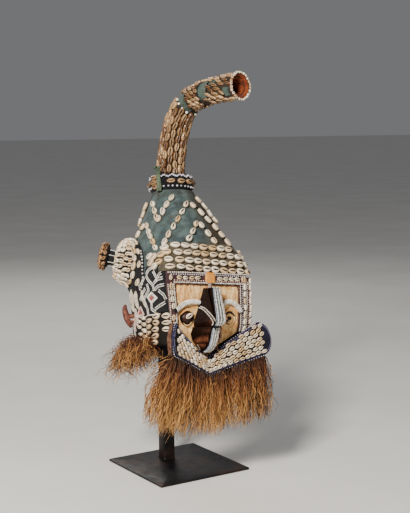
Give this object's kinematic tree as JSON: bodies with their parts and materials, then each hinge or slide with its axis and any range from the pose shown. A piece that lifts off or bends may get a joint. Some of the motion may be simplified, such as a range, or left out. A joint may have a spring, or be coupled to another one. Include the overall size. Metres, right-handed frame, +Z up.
{
  "type": "helmet mask",
  "caption": "Tall cowrie-covered helmet mask with a beaded face, an elephant trunk rising from its crown, hair buns and raffia fringes, on a steel plate-and-post stand.",
  "frame": {"origin": "centre of the stand plate's underside", "axes": "+Z up; -Y is the way the face looks; +X is the mask's own left side"},
  "size_m": [0.3724, 0.3456, 0.9492],
  "materials": {
    "steel": "dark waxed steel with reddish-brown patina",
    "cloth": "worn grey-green cloth",
    "dark_cloth": "dark navy cloth",
    "cowrie": "natural cowrie shell, worn gloss",
    "hide": "tan wrinkled hide",
    "dark_wood": "dark carved wood",
    "red_wood": "reddish-brown carved wood",
    "beads": "opaque glass seed beads",
    "raffia": "golden-brown raffia fibre",
    "lining": "orange-red cloth lining"
  },
  "bodies": {
    "root": {"base_plate": "steel", "stand_post": "steel", "helmet_shell": "dark_cloth", "crown_cone": "cloth", "forehead_cowries": "cowrie", "face_frame": "beads", "face_panel": "hide", "forehead_patch": "hide", "nose": "dark_wood", "mouth": "red_wood", "nose_bead_strip": "beads", "mouth_bead_strip": "beads", "right_eye": "dark_wood", "left_eye": "dark_wood", "right_brow": "beads", "left_brow": "beads", "right_side_panel": "dark_cloth", "left_side_panel": "dark_cloth", "right_cheek_cowries": "cowrie", "left_cheek_cowries": "cowrie", "right_ear": "red_wood", "left_ear": "red_wood", "right_bun": "cowrie", "left_bun": "cowrie", "right_bun_neck": "dark_cloth", "left_bun_neck": "dark_cloth", "right_bun_knob": "cowrie", "left_bun_knob": "cowrie", "trunk": "cloth", "trunk_tip_ring": "cowrie", "trunk_lining": "lining", "trunk_collar": "dark_cloth", "collar_tie": "cloth", "beard_band": "cowrie", "beard_fringe": "raffia", "nape_fringe": "raffia"}
  },
  "joints": []
}
